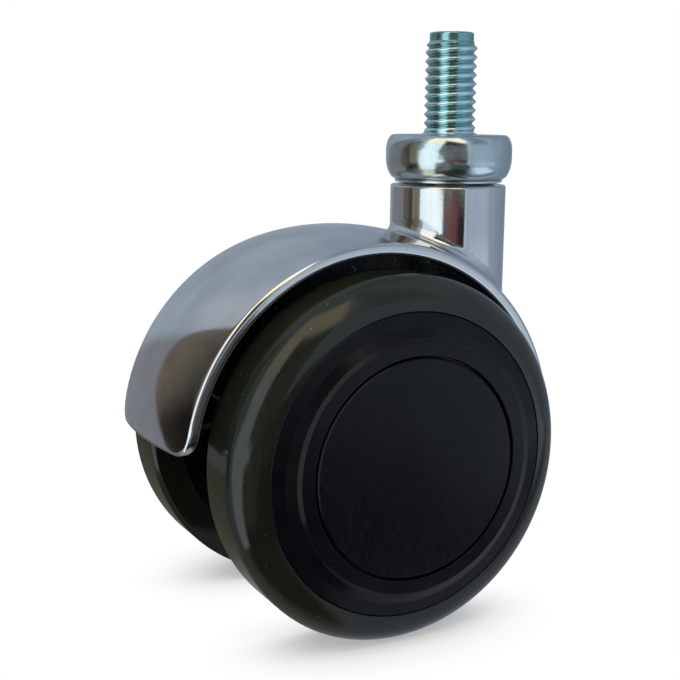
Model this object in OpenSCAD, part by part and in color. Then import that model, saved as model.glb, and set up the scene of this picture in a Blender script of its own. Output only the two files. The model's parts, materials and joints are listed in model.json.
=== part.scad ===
// Twin-wheel stem castor with a hooded die-cast body.
// Origin: on the swivel axis, at the collar's top face. +Z runs up the stem, the axle is parallel to Y,
// and the wheels trail towards -X. Left is +Y, right is -Y.
// Profiles of revolution about the axle are drawn as [radius, distance from the mid-plane].

/* [Stem] */
// Outside diameter of the thread (3/8 in)
thread_d = 9.525; // [8.5:0.005:11]
// Length of the stem above the collar (just under 3/4 in)
thread_len = 18.4; // [12:0.05:40]
// Diameter of the plain lead-in at the tip
tip_d = 8.1; // [5:0.1:8.4]
// Length of the plain lead-in
tip_len = 1.6; // [0.8:0.1:3]
// Largest diameter of the barrel collar
collar_d = 23.4; // [21:0.1:26]
// Height of the collar
collar_h = 8.1; // [7.5:0.1:12]
// Width of the collar's rounding at its top edge
collar_top_w = 1.4; // [0.5:0.1:2.5]
// Height of that rounding
collar_top_h = 2.3; // [0.5:0.1:3]
// Width of the collar's rounding at its lower edge
collar_low_w = 1.9; // [0.5:0.1:2.5]
// Height of that rounding
collar_low_h = 4; // [0.5:0.1:4.5]
// Diameter of the shank that turns in the neck
shank_d = 10.9; // [8:0.1:11.5]

/* [Swivel bearing] */
// Diameter of the thrust washer
thrust_d = 20; // [17:0.1:21]
// Thickness of the thrust washer
thrust_t = 0.5; // [0.4:0.05:1.5]
// Free height between the thrust washer and the neck
thrust_gap = 0.5; // [0.2:0.05:0.8]
// Free height between the neck tube and the retaining washer
retainer_gap = 0.3; // [0.2:0.05:0.6]
// Radial clearance of a shaft in its bearing
run_clear = 0.05; // [0.02:0.01:0.09]
// Wall of the swivel bushes
bush_wall = 1.7; // [1:0.1:2]
// Length of each swivel bush with its flange
bush_len = 9; // [5:0.5:12]
// How far the bush flange stands out past its wall
flange_w = 1.4; // [0.6:0.1:1.4]
// Thickness of the bush flange
flange_t = 1; // [0.6:0.1:2]
// Outside diameter of the retaining washer
retainer_d = 17; // [15:0.1:18]
// Thickness of the retaining washer
retainer_t = 1; // [0.6:0.1:2]

/* [Wheels] */
// Wheel diameter over the tread (2 1/2 in)
wheel_d = 63.5; // [60:0.5:76]
// Thickness of the tread on its core
tread_t = 5.65; // [4:0.05:6]
// Width of the tread from its inner edge to the core's outer face
tread_w = 12.8; // [11.5:0.1:16]
// Width of the tread's cylindrical running band
tread_band_w = 9; // [7:0.1:10]
// How far the tread's outer shoulder bulges past a straight bevel
shoulder_bulge = 1; // [0.3:0.05:1.1]
// Chamfer at the tread's inner edge
tread_chamfer = 0.7; // [0.2:0.05:1.2]
// Height of the core's ring that keys into the tread
key_h = 1.4; // [0.5:0.1:2.5]
// Width of that ring
key_w = 4; // [2:0.1:6]
// Wall of the core's rim
rim_t = 2.7; // [1.5:0.1:3.5]
// Depth of the pockets in the core's inner side, from the tread's inner edge
pocket_depth = 3.9; // [2.5:0.1:5]
// Outside diameter of the wheel hub
hub_d = 17; // [13:0.1:20]
// Ribs inside each core
rib_count = 8; // [4:1:12]
// Thickness of a rib
rib_t = 1.8; // [1:0.1:3]
// How far the ribs stay back from the tread's inner edge
rib_setback = 1.5; // [0.8:0.1:2]
// Depth of the hub's outer face below the core's outer edge
hub_depth = 2.2; // [1.5:0.1:3]
// Width of the core's outer ring
outer_ring_w = 2.5; // [1:0.1:3]
// How far the outer ring rises towards its inner edge
outer_ring_rise = 0.5; // [0:0.05:0.8]
// Radial width of the slope and step that rise from the outer ring to the raised ring
rise_w = 2.2; // [1:0.1:3]
// Radial width of the step at the raised ring's edge
step_w = 0.6; // [0.2:0.05:0.8]
// Height of that step
step_h = 0.7; // [0.2:0.05:0.8]
// Chamfer at the line between core and tread
line_chamfer = 0.25; // [0.1:0.05:0.5]

/* [Hub caps] */
// Diameter of the hub cap
cap_d = 37.4; // [34:0.1:39]
// Thickness of the hub cap
cap_t = 1.3; // [0.9:0.1:2.5]
// Width of the groove round the hub cap
cap_groove = 0.4; // [0.2:0.05:1]
// How far the hub cap stands out past the core's raised ring
cap_proud = 0.1; // [0:0.01:0.4]
// Width of the ledge that the hub cap sits on
cap_ledge = 1.9; // [1:0.1:3]
// Length of the hub cap's skirt
skirt_len = 1.6; // [0.8:0.1:2.4]
// Wall of the hub cap's skirt
skirt_t = 1.1; // [0.6:0.1:2]
// Clearance of the hub cap's skirt in the core
skirt_clear = 0.05; // [0.02:0.01:0.1]
// Chamfer at the hub cap's edge
cap_chamfer = 0.3; // [0.1:0.05:0.6]

/* [Axle] */
// Axle diameter
axle_d = 8; // [6:0.1:9]
// Width of the casting's axle boss
boss_w = 18; // [14:0.1:20]
// Diameter of the axle boss
boss_d = 18; // [14:0.1:20]
// Thickness of the spacers between boss and hubs
spacer_t = 1; // [0.5:0.1:2]
// Side play of each wheel at each end of its hub
side_play = 0.3; // [0.2:0.05:0.5]
// Thickness of the washers outside the hubs
hub_washer_t = 0.8; // [0.5:0.1:1.2]
// Outside diameter of spacers and hub washers
hub_washer_d = 15; // [12:0.1:18]
// Length of the axle past its clip groove
axle_tip = 0.7; // [0.5:0.1:1.5]
// Free space between the axle's end and the hub cap
cap_gap = 0.3; // [0.2:0.05:1]

/* [Clips] */
// Thickness of the retaining clips
clip_t = 0.9; // [0.6:0.05:1.2]
// Free width of a clip in its groove, on each side
clip_play = 0.05; // [0.02:0.01:0.1]
// Depth of a clip groove
clip_groove = 0.6; // [0.4:0.05:1]
// Radial width of a clip
clip_w = 2; // [1.5:0.1:3]
// Opening of a clip
clip_mouth = 5; // [3:0.1:6]

/* [Hood] */
// Distance of the swivel axis from the axle
trail = 22.8; // [20:0.1:24]
// Diameter of the neck
neck_d = 21.5; // [20.5:0.1:24]
// Height of the neck over the hood's crown
neck_rise = 6.8; // [4:0.1:20]
// Rounding of the neck's upper edge
neck_edge = 0.45; // [0.1:0.05:1]
// Radius of the fillet between neck and hood
neck_fillet = 2; // [0.8:0.1:3]
// How far the neck tube runs down past the lowest point where it leaves the hood
tube_drop = 4; // [2:0.1:6]
// Free space between the neck tube and the treads
neck_gap = 2.35; // [0.6:0.05:4]
// How far the hood reaches over each tread
hood_overlap = 2.8; // [1:0.1:5]
// Free space between the tread and the hood's rim
hood_gap = 2.1; // [1.2:0.05:4]
// Wall of the hood
hood_wall = 2.2; // [1.6:0.05:3]
// Rise of the hood's crown from rim to mid-plane
crown_rise = 2; // [0.5:0.05:4]
// Rounding of the rim's outer edge
rim_edge = 1; // [0.3:0.05:1.4]
// Angle of the hood's front edge about the axle, from +X over the top
front_deg = 175.5; // [160:0.5:182]
// Angle of the hood's rear edge
rear_deg = 10; // [0:0.5:18]
// Corner radius of the front and rear edges
hood_corner = 4.2; // [1:0.1:8]
// Thickness of the casting's web
web_t = 5; // [3:0.1:8]
// Angle of the web's front edge about the axle
web_deg = 150; // [130:1:165]

/* [Hidden] */
$fn = 96;
LEFT = 1;
RIGHT = -1;
// Segments of a small rounding that is drawn as a polygon
arc_steps = 6;
// Segments of the neck's fillet: along its arc and round the neck
fillet_steps = 3;
fillet_turns = 32;
// Depth of the fillet's edges under the faces that it joins, and of its root below them
fillet_sink = 0.1;
fillet_root = 0.8;
// Reach of a cutter past the face that it cuts
past = 1;

// Wheel, from the axle outwards
wheel_r = wheel_d / 2;
axle_r = axle_d / 2;
hub_bore_r = axle_r + run_clear;
hub_r = hub_d / 2;
core_r = wheel_r - tread_t;
rim_inner_r = core_r - rim_t;
cap_r = cap_d / 2;
pocket_r = cap_r + cap_groove;
seat_r = cap_r - cap_ledge;
rise_foot_r = core_r - outer_ring_w;
rise_top_r = rise_foot_r - rise_w;

// Wheel, from the mid-plane outwards
wheel_gap = neck_d + 2 * neck_gap;
tread_in = wheel_gap / 2;
crease = tread_in + tread_band_w;
face = tread_in + tread_w;
hub_out = face - hub_depth;
hub_in = boss_w / 2 + spacer_t + side_play;
washer_in = hub_out + side_play;
groove_in = washer_in + hub_washer_t;
groove_w = clip_t + 2 * clip_play;
axle_end = groove_in + groove_w + axle_tip;
cap_in = axle_end + cap_gap;
cap_out = cap_in + cap_t;
lip = cap_out - cap_proud;
pocket_in = tread_in + pocket_depth;
rib_in = tread_in + rib_setback;
key_in = (tread_in + face - key_w) / 2;
key_out = key_in + key_w;

// Hood, about the axle
hood_half = tread_in + hood_overlap;
rim_in_r = wheel_r + hood_gap;
crown_in_r = rim_in_r + crown_rise;
crown_out_r = crown_in_r + hood_wall;
crown_arc = (hood_half * hood_half + crown_rise * crown_rise) / (2 * crown_rise);
crown_centre = crown_in_r - crown_arc;
outer_arc = crown_arc + hood_wall;
edge_mid_u = hood_half - rim_edge;
edge_mid_r = crown_centre + sqrt(pow(outer_arc - rim_edge, 2) - pow(edge_mid_u, 2));
edge_deg = asin(edge_mid_u / (outer_arc - rim_edge));

// Swivel, down from the collar's top face
thread_r = thread_d / 2;
tip_r = tip_d / 2;
collar_r = collar_d / 2;
shank_r = shank_d / 2;
neck_r = neck_d / 2;
bush_r = shank_r + run_clear;
neck_bore_r = bush_r + bush_wall;
flange_r = neck_bore_r + flange_w;
neck_top = -collar_h - thrust_t - thrust_gap;
axle_z = neck_top - neck_rise - crown_out_r;
tube_low = hood_height(neck_r, 0) - tube_drop;
tube_z = axle_z + tube_low;
retainer_top = tube_z - retainer_gap;
stem_groove_top = retainer_top - retainer_t;
stem_groove_low = stem_groove_top - groove_w;
shank_end = stem_groove_low - axle_tip;

// Points of an elliptic arc about [x, y]
function arc(x, y, rx, ry, from, to, steps = arc_steps) =
    [for (i = [0 : steps]) let (a = from + (to - from) * i / steps) [x + rx * cos(a), y + ry * sin(a)]];

// Height of the hood's outer face over the axle, at a distance and a direction from the swivel axis
function hood_height(distance, deg) =
    let (x = trail + distance * cos(deg), y = distance * sin(deg),
        r = crown_centre + sqrt(outer_arc * outer_arc - y * y))
    sqrt(r * r - x * x);

// Section of the neck's fillet in one direction: its arc, then its root inside hood and neck,
// as [distance from the swivel axis, height over the axle]
function fillet_section(deg) =
    let (wall = neck_r - fillet_sink,
        root = neck_r - fillet_root,
        foot = hood_height(neck_r, deg) - fillet_sink,
        slope = (hood_height(neck_r + neck_fillet, deg) - hood_height(neck_r, deg)) / neck_fillet,
        rise = neck_fillet * (slope + sqrt(1 + slope * slope)),
        low_deg = atan(slope) - 90,
        curve = arc(wall + neck_fillet, foot + rise, neck_fillet, neck_fillet, -180, low_deg, fillet_steps))
    concat(curve, [curve[fillet_steps] - [0, fillet_root],
        [root, foot - fillet_root], [root, curve[0][1]]]);

// Turns a profile's height into distance from the mid-plane, on the axle, towards one side
module on_axle(side) {
    translate([-trail, 0, axle_z]) rotate([-90 * side, 0, 0]) children();
}

// Ring about Z
module ring(outer_r, inner_r, height) {
    difference() {
        cylinder(r = outer_r, h = height);
        translate([0, 0, -past]) cylinder(r = inner_r, h = height + 2 * past);
    }
}

// Open spring clip about Z that sits in a groove of a shaft
module clip(shaft_r) {
    seat = shaft_r - clip_groove;
    outer_r = seat + clip_w;
    difference() {
        ring(outer_r, seat, clip_t);
        translate([0, -clip_mouth / 2, -past]) cube([outer_r + past, clip_mouth, clip_t + 2 * past]);
    }
}

module threaded_stem() {
    groove_r = shank_r - clip_groove;
    tip_z = thread_len - tip_len;
    profile = concat(
        [[0, shank_end], [groove_r, shank_end], [shank_r, stem_groove_low - axle_tip / 2],
            [shank_r, stem_groove_low], [groove_r, stem_groove_low], [groove_r, stem_groove_top],
            [shank_r, stem_groove_top], [shank_r, -collar_h]],
        arc(collar_r - collar_low_w, collar_low_h - collar_h, collar_low_w, collar_low_h, -90, 0),
        arc(collar_r - collar_top_w, -collar_top_h, collar_top_w, collar_top_h, 0, 90),
        [[thread_r, 0], [thread_r, tip_z - thread_r + tip_r], [tip_r, tip_z],
            [tip_r, thread_len], [0, thread_len]]);
    color("lightsteelblue") rotate_extrude() polygon(profile);
}

module thrust_washer() {
    color("silver") translate([0, 0, -collar_h - thrust_t])
        ring(thrust_d / 2, shank_r + run_clear, thrust_t);
}

module retaining_washer() {
    color("gray") translate([0, 0, stem_groove_top])
        ring(retainer_d / 2, shank_r + run_clear, retainer_t);
}

module stem_clip() {
    color("dimgray") translate([0, 0, stem_groove_low + clip_play]) clip(shank_r);
}

// Flanged bush about Z, its flange face at z = 0 and its sleeve below
module bush() {
    translate([0, 0, -bush_len]) ring(neck_bore_r, bush_r, bush_len);
    translate([0, 0, -flange_t]) ring(flange_r, neck_bore_r - bush_wall / 2, flange_t);
}

module upper_bush() {
    color("ivory") translate([0, 0, neck_top]) bush();
}

module lower_bush() {
    color("ivory") translate([0, 0, tube_z]) mirror([0, 0, 1]) bush();
}

// Section of the hood's wall: two arcs with one centre, cut to width, with rounded outer edges
module hood_section() {
    reach = outer_arc + past;
    edge = concat(arc(edge_mid_r, edge_mid_u, rim_edge, rim_edge, 90, edge_deg),
        [[crown_centre + reach * cos(edge_deg), reach * sin(edge_deg)]]);
    mirrored = [for (i = [len(edge) - 1 : -1 : 0]) [edge[i][0], -edge[i][1]]];
    difference() {
        intersection() {
            translate([crown_centre, 0]) circle(r = outer_arc, $fn = 360);
            polygon(concat([[boss_d / 2, hood_half]], edge, mirrored, [[boss_d / 2, -hood_half]]));
        }
        translate([crown_centre, 0]) circle(r = crown_arc, $fn = 360);
    }
}

// Cutter that rounds one corner of a hood edge: the edge is y = 0, the hood lies at y < 0, radius along +x
module corner_cutter(side) {
    rounding = arc(-hood_corner, hood_half - hood_corner, hood_corner, hood_corner, 0, 90);
    outline = concat([[past, hood_half - hood_corner]], rounding,
        [[-hood_corner, hood_half + past], [past, hood_half + past]]);
    rotate([90, 0, 90]) linear_extrude(crown_out_r + past)
        polygon([for (p = outline) [p[0], side * p[1]]]);
}

module hood_shell() {
    on_axle(RIGHT) difference() {
        rotate_extrude(start = rear_deg, angle = front_deg - rear_deg, $fn = 180) hood_section();
        for (side = [LEFT, RIGHT]) {
            rotate([0, 0, front_deg]) corner_cutter(side);
            rotate([0, 0, rear_deg]) mirror([0, 1, 0]) corner_cutter(side);
        }
    }
}

// Neck outside, from the tube's lower end to its rounded top edge
module neck_body() {
    rotate_extrude() polygon(concat([[0, tube_z], [neck_r, tube_z]],
        arc(neck_r - neck_edge, neck_top - neck_edge, neck_edge, neck_edge, 0, 90), [[0, neck_top]]));
}

// Fillet where the neck rises from the crowned hood, made of one section for each direction
module fillet_ring() {
    rings = [for (i = [0 : fillet_turns - 1]) let (deg = 360 * i / fillet_turns)
        [for (p = fillet_section(deg)) [p[0] * cos(deg), p[0] * sin(deg), axle_z + p[1]]]];
    count = len(rings[0]);
    points = [for (section = rings) for (p = section) p];
    faces = [for (i = [0 : fillet_turns - 1]) for (j = [0 : count - 1])
        let (a = i * count, b = ((i + 1) % fillet_turns) * count, k = (j + 1) % count)
        for (face = [[a + j, b + k, a + k], [a + j, b + j, b + k]]) face];
    polyhedron(points, faces);
}

// Web in the mid-plane that ties boss, neck and hood together
module web() {
    tie_r = crown_in_r + hood_wall / 2;
    reach = 2 * crown_out_r;
    root = (axle_r + boss_d / 2) / 2;
    outline = [[-root, -axle_r], [root, -axle_r], [trail - neck_r + past, tube_low], [trail, tube_low],
        [trail, reach], [-reach, reach], reach * [cos(web_deg), sin(web_deg)]];
    on_axle(RIGHT) intersection() {
        translate([0, 0, -web_t / 2]) linear_extrude(web_t) polygon(outline);
        translate([0, 0, -web_t]) cylinder(r = tie_r, h = 2 * web_t, $fn = 180);
    }
}

module hood() {
    color("gainsboro") difference() {
        union() {
            hood_shell();
            neck_body();
            fillet_ring();
            web();
            on_axle(RIGHT) translate([0, 0, -boss_w / 2]) cylinder(d = boss_d, h = boss_w);
        }
        translate([0, 0, tube_z - past]) cylinder(r = neck_bore_r, h = neck_top - tube_z + 2 * past);
        translate([0, 0, neck_top - flange_t]) cylinder(r = flange_r, h = flange_t + past);
        translate([0, 0, tube_z - past]) cylinder(r = flange_r, h = flange_t + past);
        on_axle(RIGHT) translate([0, 0, -boss_w]) cylinder(r = axle_r, h = 2 * boss_w);
    }
}

module axle() {
    groove_r = axle_r - clip_groove;
    groove_out = groove_in + groove_w;
    half = [[axle_r, 0], [axle_r, groove_in], [groove_r, groove_in], [groove_r, groove_out],
        [axle_r, groove_out], [axle_r, axle_end - axle_tip / 2], [groove_r, axle_end], [0, axle_end]];
    mirrored = [for (i = [len(half) - 1 : -1 : 1]) [half[i][0], -half[i][1]]];
    color("silver") on_axle(RIGHT) rotate_extrude() polygon(concat(half, mirrored));
}

module spacer(side) {
    color("ivory") on_axle(side) translate([0, 0, boss_w / 2])
        ring(hub_washer_d / 2, hub_bore_r, spacer_t);
}

module hub_washer(side) {
    color("silver") on_axle(side) translate([0, 0, washer_in])
        ring(hub_washer_d / 2, hub_bore_r, hub_washer_t);
}

module axle_clip(side) {
    color("dimgray") on_axle(side) translate([0, 0, groove_in + clip_play]) clip(axle_r);
}

// Section of the wheel core: hub, pocketed inner side, rim with its key ring, and the raised outer face
module core_section() {
    rim_in = tread_in + tread_chamfer;
    key_r = core_r + key_h;
    polygon([[hub_bore_r, hub_in], [hub_r, hub_in], [hub_r, pocket_in],
        [rim_inner_r, pocket_in], [rim_inner_r, rim_in], [core_r, rim_in],
        [core_r, key_in], [key_r, key_in], [key_r, key_out], [core_r, key_out],
        [core_r, face - line_chamfer], [core_r - line_chamfer, face],
        [rise_foot_r, face + outer_ring_rise], [rise_top_r + step_w, lip - step_h], [rise_top_r, lip],
        [pocket_r, lip], [pocket_r, cap_in], [seat_r, cap_in], [seat_r, hub_out], [hub_bore_r, hub_out]]);
}

// One rib from hub to rim, along +X, rooted in the pocket's floor
module rib() {
    start_r = (hub_bore_r + hub_r) / 2;
    end_r = rim_inner_r + rim_t / 2;
    translate([start_r, -rib_t / 2, rib_in]) cube([end_r - start_r, rib_t, pocket_in + past - rib_in]);
}

module wheel_core(side) {
    color([0.1, 0.11, 0.14]) on_axle(side) {
        rotate_extrude() core_section();
        for (i = [0 : rib_count - 1]) rotate([0, 0, 360 * i / rib_count]) rib();
    }
}

// Section of the tread: running band, bulging outer shoulder, and the groove that the key ring fills
module tread_section() {
    chord = [core_r - wheel_r, face - crease];
    span = norm(chord);
    bulge_r = (span * span / 4 + shoulder_bulge * shoulder_bulge) / (2 * shoulder_bulge);
    inward = [-chord[1], chord[0]] / span;
    middle = [(core_r + wheel_r) / 2, (face + crease) / 2] + inward * (bulge_r - shoulder_bulge);
    difference() {
        union() {
            polygon([[core_r, tread_in], [wheel_r - tread_chamfer, tread_in],
                [wheel_r, tread_in + tread_chamfer], [wheel_r, crease], [core_r, crease]]);
            intersection() {
                translate([core_r, key_in]) square([tread_t, tread_w]);
                translate(middle) circle(r = bulge_r);
            }
        }
        translate([core_r - past, key_in]) square([key_h + past, key_w]);
    }
}

module tread(side) {
    color([0.24, 0.24, 0.2]) on_axle(side) rotate_extrude($fn = 180) tread_section();
}

module hub_cap(side) {
    skirt_r = seat_r - skirt_clear;
    skirt_inner_r = skirt_r - skirt_t;
    skirt_in = cap_in - skirt_len;
    color([0.08, 0.09, 0.12]) on_axle(side) rotate_extrude()
        polygon([[0, cap_in], [skirt_inner_r, cap_in], [skirt_inner_r, skirt_in], [skirt_r, skirt_in],
            [skirt_r, cap_in], [cap_r, cap_in], [cap_r, cap_out - cap_chamfer],
            [cap_r - cap_chamfer, cap_out], [0, cap_out]]);
}

threaded_stem();
thrust_washer();
retaining_washer();
stem_clip();
hood();
upper_bush();
lower_bush();
axle();
spacer(LEFT);  // spacer_left
spacer(RIGHT);  // spacer_right
hub_washer(LEFT);  // hub_washer_left
hub_washer(RIGHT);  // hub_washer_right
axle_clip(LEFT);  // axle_clip_left
axle_clip(RIGHT);  // axle_clip_right
wheel_core(LEFT);  // wheel_core_left
wheel_core(RIGHT);  // wheel_core_right
tread(LEFT);  // tread_left
tread(RIGHT);  // tread_right
hub_cap(LEFT);  // hub_cap_left
hub_cap(RIGHT);  // hub_cap_right
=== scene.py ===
import json
import math

import bmesh
import bpy
import numpy as np
from mathutils import Matrix, Vector


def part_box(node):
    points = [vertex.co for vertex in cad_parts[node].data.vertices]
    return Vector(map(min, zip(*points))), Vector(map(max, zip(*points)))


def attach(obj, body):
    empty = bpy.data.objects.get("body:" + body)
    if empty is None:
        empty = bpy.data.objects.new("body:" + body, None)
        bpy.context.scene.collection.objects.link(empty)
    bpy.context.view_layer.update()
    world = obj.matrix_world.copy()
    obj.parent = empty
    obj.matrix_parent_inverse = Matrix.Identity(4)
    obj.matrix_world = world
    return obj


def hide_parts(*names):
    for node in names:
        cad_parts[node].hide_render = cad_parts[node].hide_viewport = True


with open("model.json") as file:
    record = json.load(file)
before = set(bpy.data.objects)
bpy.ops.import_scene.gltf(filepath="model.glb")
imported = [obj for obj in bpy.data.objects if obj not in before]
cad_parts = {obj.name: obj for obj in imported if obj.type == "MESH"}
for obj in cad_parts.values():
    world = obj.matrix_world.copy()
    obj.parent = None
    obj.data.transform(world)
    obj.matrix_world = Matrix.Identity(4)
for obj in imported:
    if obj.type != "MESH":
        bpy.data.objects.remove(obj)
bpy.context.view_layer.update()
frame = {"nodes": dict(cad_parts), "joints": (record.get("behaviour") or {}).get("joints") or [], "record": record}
nodes = frame["nodes"]
MM = 0.001

# Sizes in millimetres: places and outer sizes come from the frame, the rest is as in the part's source


def node_box(name):
    """A node's lowest and highest corners."""
    return [[round(value / MM, 2) for value in corner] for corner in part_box(name)]


def joint_place(name):
    """A joint's X and Z."""
    place = next(joint["pos_m"] for joint in frame["joints"] if joint["name"] == name)
    return round(place[0] / MM, 2), round(place[2] / MM, 2)


def mount_radius(name):
    return next(mount["dims"]["r_mm"] for mount in frame["record"]["mounts"] if mount["name"] == name)


stem_low, stem_high = node_box("threaded_stem")
washer_low, washer_high = node_box("thrust_washer")
bush_low, bush_high = node_box("lower_bush")
hood_high = node_box("hood")[1]
tread_low, tread_high = node_box("tread_left")
core_low, core_high = node_box("wheel_core_left")
cap_low, cap_high = node_box("hub_cap_left")

AXLE_X, AXLE_Z = joint_place("left_wheel_spin")
FLOOR_Z = tread_low[2]
RUN_CLEAR = 0.05

# Wheel, from the axle outwards
TREAD_T, KEY_H, RIM_T, RING_W, RISE_W = 5.65, 1.4, 2.7, 2.5, 2.2
CAP_GROOVE, CAP_LEDGE, SKIRT_CLEAR, SKIRT_T = 0.4, 1.9, 0.05, 1.1
AXLE_R, HUB_R = 4.0, 8.5
HUB_BORE_R = AXLE_R + RUN_CLEAR
WHEEL_R = (tread_high[2] - tread_low[2]) / 2
CORE_R = WHEEL_R - TREAD_T
KEY_R = CORE_R + KEY_H
RIM_INNER_R = CORE_R - RIM_T
RISE_FOOT_R = CORE_R - RING_W
RISE_TOP_R = RISE_FOOT_R - RISE_W
CAP_R = (cap_high[0] - cap_low[0]) / 2
POCKET_R = CAP_R + CAP_GROOVE
SEAT_R = CAP_R - CAP_LEDGE
SKIRT_R = SEAT_R - SKIRT_CLEAR

# Wheel, from the mid-plane outwards
TREAD_BAND, TREAD_EDGE, BULGE, KEY_W = 9.0, 0.7, 1.0, 4.0
GROOVE_FAR, GROOVE_DEEPEST, GROOVE_NEAR, GROOVE_DEPTH = 0.55, 0.38, 0.2, 0.13
POCKET_DEPTH, RIB_SETBACK, HUB_DEPTH = 3.9, 1.5, 2.2
RING_RISE, STEP_W, STEP_H, LINE_EDGE, CAP_T, CAP_EDGE = 0.5, 0.6, 0.7, 0.25, 1.3, 0.3
TREAD_IN, FACE = tread_low[1], tread_high[1]
CREASE = TREAD_IN + TREAD_BAND
KEY_IN = (TREAD_IN + FACE - KEY_W) / 2
KEY_OUT = KEY_IN + KEY_W
RIM_IN = TREAD_IN + TREAD_EDGE
POCKET_IN = TREAD_IN + POCKET_DEPTH
RIB_IN = TREAD_IN + RIB_SETBACK
HUB_IN, LIP = core_low[1], core_high[1]
HUB_OUT = FACE - HUB_DEPTH
SKIRT_IN, CAP_OUT = cap_low[1], cap_high[1]
CAP_IN = CAP_OUT - CAP_T

# Stem and neck
PITCH, TIP_R, TIP_LEN, SHANK_R, CLIP_DEPTH, CLIP_LOW, CLIP_TOP = 1.5875, 4.05, 1.6, 5.45, 0.6, -42.3, -41.3
COLLAR_TOP_W, COLLAR_TOP_H, COLLAR_LOW_W, COLLAR_LOW_H = 1.4, 2.9, 1.9, 4.0
NECK_R, BUSH_WALL, FLANGE_T = 10.75, 1.7, 1.0
THREAD_R = mount_radius("stem")
COLLAR_R, THREAD_TOP, STEM_FOOT = stem_high[0], stem_high[2], stem_low[2]
COLLAR_H, THRUST_R = -washer_high[2], washer_high[0]
NECK_TOP, TUBE_Z = hood_high[2], bush_low[2]
BUSH_HOLE_R = SHANK_R + RUN_CLEAR + BUSH_WALL
FLANGE_R = bush_high[0]


# Meshes


def add_mesh(name, points, faces, normals=None):
    """An object of smooth faces from points in millimetres, with vertex normals where they are given."""
    mesh = bpy.data.meshes.new(name)
    mesh.from_pydata((np.asarray(points) * MM).tolist(), [], [list(f) for f in faces])
    mesh.update()
    mesh.polygons.foreach_set("use_smooth", np.ones(len(mesh.polygons), bool))
    if normals is not None:
        mesh.normals_split_custom_set_from_vertices(np.asarray(normals).tolist())
    piece = bpy.data.objects.new(name, mesh)
    bpy.context.scene.collection.objects.link(piece)
    return piece


def dress(piece, body, node, material):
    """Puts a piece in place of a CAD node."""
    piece.data.materials.append(material)
    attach(piece, body)
    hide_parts(node)


def rounded(corners, steps=5):
    """Points of a closed profile whose corners (r, u, radius) are rounded."""
    out = []
    count = len(corners)
    for i in range(count):
        here = np.array(corners[i][:2], float)
        radius = corners[i][2] if len(corners[i]) > 2 else 0
        if radius <= 0:
            out.append(here)
            continue
        before = np.array(corners[i - 1][:2], float) - here
        after = np.array(corners[(i + 1) % count][:2], float) - here
        la, lb = np.linalg.norm(before), np.linalg.norm(after)
        before, after = before / la, after / lb
        half = math.acos(np.clip(before @ after, -1, 1)) / 2
        reach = min(radius / math.tan(half), 0.49 * la, 0.49 * lb)
        radius = reach * math.tan(half)
        middle = here + (before + after) / np.linalg.norm(before + after) * radius / math.sin(half)
        first, last = here + before * reach - middle, here + after * reach - middle
        turn = math.atan2(first[0] * last[1] - first[1] * last[0], first @ last)
        for k in range(steps + 1):
            a = turn * k / steps
            c, s = math.cos(a), math.sin(a)
            out.append(middle + np.array([c * first[0] - s * first[1], s * first[0] + c * first[1]]))
    return np.array(out)


def arc(middle, radius, start, end, steps):
    """Corners along an arc, in degrees."""
    angles = np.radians(np.linspace(start, end, steps + 1))
    return [(middle[0] + radius * math.cos(a), middle[1] + radius * math.sin(a)) for a in angles]


def profile_normals(points):
    """Outward normals of a closed profile that runs anticlockwise, weighted by its segments' lengths."""
    step = np.roll(points, -1, 0) - points
    face = np.stack([step[:, 1], -step[:, 0]], 1)
    total = face + np.roll(face, 1, 0)
    return total / np.linalg.norm(total, axis=1)[:, None]


def area_sign(points):
    """1 for a profile that runs anticlockwise, -1 for the other way."""
    nxt = np.roll(points, -1, 0)
    return np.sign((points[:, 0] * nxt[:, 1] - points[:, 1] * nxt[:, 0]).sum())


def lathe(profile, turns):
    """Radii, heights, angles, normals and faces of a closed profile turned about its axis."""
    profile = np.asarray(profile)
    if area_sign(profile) < 0:
        profile = profile[::-1]
    flat = profile_normals(profile)
    count = len(profile)
    angle = np.linspace(0, 2 * math.pi, turns, endpoint=False)
    r, u = np.repeat(profile[:, 0][None], turns, 0), np.repeat(profile[:, 1][None], turns, 0)
    nr, nu = np.repeat(flat[:, 0][None], turns, 0), np.repeat(flat[:, 1][None], turns, 0)
    a = np.repeat(angle[:, None], count, 1)
    faces = []
    for i in range(turns):
        j = (i + 1) % turns
        for k in range(count):
            m = (k + 1) % count
            if profile[k][0] < 1e-6 and profile[m][0] < 1e-6:
                continue
            faces.append([i * count + k, j * count + k, j * count + m, i * count + m])
    return r.ravel(), u.ravel(), a.ravel(), nr.ravel(), nu.ravel(), faces


def merge_points(points, faces, normals):
    """Joins points that coincide, as on a turned piece's axis, and drops what that leaves of a face."""
    key = np.round(np.asarray(points), 6)
    _, first, back = np.unique(key, axis=0, return_index=True, return_inverse=True)
    back = back.ravel()
    kept = []
    for f in faces:
        ring = [int(back[i]) for i in f]
        ring = [v for i, v in enumerate(ring) if v != ring[i - 1]]
        if len(set(ring)) > 2:
            kept.append(ring)
    return np.asarray(points)[first], kept, np.asarray(normals)[first]


def turned_on_axle(name, profile, side, turns=192):
    """A piece turned about the axle; its profile is [radius, distance from the mid-plane]."""
    r, u, a, nr, nu, faces = lathe(profile, turns)
    points = np.stack([AXLE_X + r * np.cos(a), side * u, AXLE_Z + r * np.sin(a)], 1)
    normals = np.stack([nr * np.cos(a), side * nu, nr * np.sin(a)], 1)
    if side > 0:
        faces = [f[::-1] for f in faces]
    points, faces, normals = merge_points(points, faces, normals)
    return add_mesh(name, points, faces, normals)


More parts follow.
